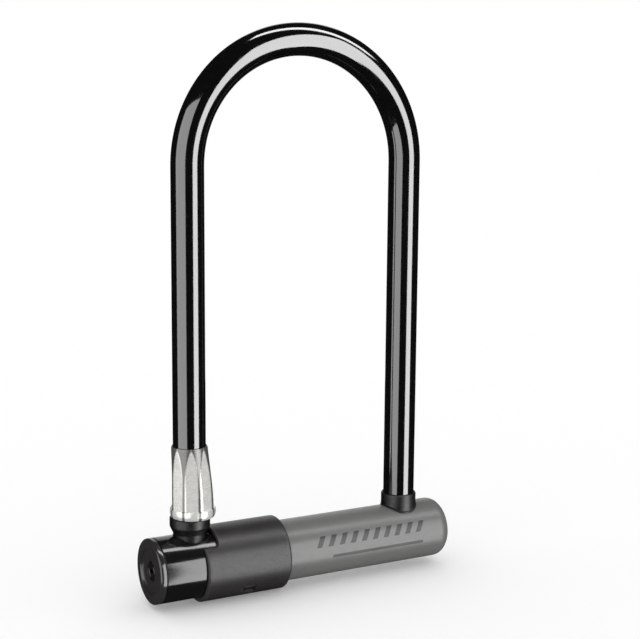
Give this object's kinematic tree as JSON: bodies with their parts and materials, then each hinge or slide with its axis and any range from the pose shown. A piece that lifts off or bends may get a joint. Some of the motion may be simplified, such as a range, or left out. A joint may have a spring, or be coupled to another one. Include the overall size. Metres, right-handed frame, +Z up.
{
  "type": "u lock",
  "caption": "Bicycle U lock: coated steel shackle with a chrome ferrule, held in a round crossbar by a key-turned double deadbolt.",
  "frame": {"origin": "bottom centre of the whole lock, under the middle of the crossbar, on the lowest line of the sleeve", "axes": "+Z up along the straight legs towards the arch; X along the crossbar with the key end at -X; +Y is the back of the lock"},
  "size_m": [0.1632, 0.0364, 0.2783],
  "materials": {
    "shackle_steel": "hardened steel bar",
    "vinyl_coating": "glossy black vinyl",
    "chrome_ferrule": "bright chrome plating",
    "black_rubber": "moulded black rubber",
    "satin_tube": "satin grey coated steel",
    "gloss_black_head": "glossy black coating on steel",
    "gloss_black_plastic": "glossy moulded black plastic",
    "satin_black_plastic": "satin moulded black plastic",
    "hardened_steel": "ground hardened steel",
    "turned_steel": "turned steel",
    "bright_steel": "bright steel pins and clips",
    "brass": "machined brass"
  },
  "bodies": {
    "crossbar": {"crossbar_tube": "satin_tube", "lock_head": "gloss_black_head", "end_bezel": "gloss_black_plastic", "sleeve_cover": "satin_black_plastic", "far_end_plug": "turned_steel", "far_hole_seal": "black_rubber", "shaft_mid_bush": "turned_steel", "head_pin_front": "bright_steel", "head_pin_back": "bright_steel", "plug_pin": "bright_steel", "housing_pin": "bright_steel", "guard_plate": "hardened_steel", "cylinder_housing": "brass"},
    "shackle": {"shackle_bar": "shackle_steel", "shackle_coating": "vinyl_coating", "shackle_ferrule": "chrome_ferrule", "ferrule_boot": "black_rubber"},
    "rotor": {"rotor_cage": "brass", "sidebar": "hardened_steel", "lock_shaft": "hardened_steel", "shaft_clip_near": "bright_steel", "shaft_clip_far": "bright_steel"},
    "dust_cover": {"dust_cover": "hardened_steel"},
    "code_disc_1": {"disc_1": "brass"},
    "code_disc_2": {"disc_2": "brass"},
    "code_disc_3": {"disc_3": "brass"},
    "code_disc_4": {"disc_4": "brass"},
    "code_disc_5": {"disc_5": "brass"}
  },
  "joints": [
    {"name": "shackle_lift", "type": "slide", "parent": "crossbar", "child": "shackle", "axis": [0, 0, 1], "range_m": [0, 0.06]},
    {"name": "rotor_turn", "type": "hinge", "parent": "crossbar", "child": "rotor", "pos_m": [-0.08155, 0, 0.01825], "axis": [1, 0, 0], "range_deg": [0, 90]},
    {"name": "dust_cover_turn", "type": "hinge", "parent": "crossbar", "child": "dust_cover", "pos_m": [-0.08155, 0, 0.01825], "axis": [1, 0, 0], "range_deg": [0, 90]},
    {"name": "disc_1_turn", "type": "hinge", "parent": "rotor", "child": "code_disc_1", "pos_m": [-0.08155, 0, 0.01825], "axis": [1, 0, 0], "range_deg": [0, 90]},
    {"name": "disc_2_turn", "type": "hinge", "parent": "rotor", "child": "code_disc_2", "pos_m": [-0.08155, 0, 0.01825], "axis": [1, 0, 0], "range_deg": [0, 90]},
    {"name": "disc_3_turn", "type": "hinge", "parent": "rotor", "child": "code_disc_3", "pos_m": [-0.08155, 0, 0.01825], "axis": [1, 0, 0], "range_deg": [0, 90]},
    {"name": "disc_4_turn", "type": "hinge", "parent": "rotor", "child": "code_disc_4", "pos_m": [-0.08155, 0, 0.01825], "axis": [1, 0, 0], "range_deg": [0, 90]},
    {"name": "disc_5_turn", "type": "hinge", "parent": "rotor", "child": "code_disc_5", "pos_m": [-0.08155, 0, 0.01825], "axis": [1, 0, 0], "range_deg": [0, 90]}
  ]
}
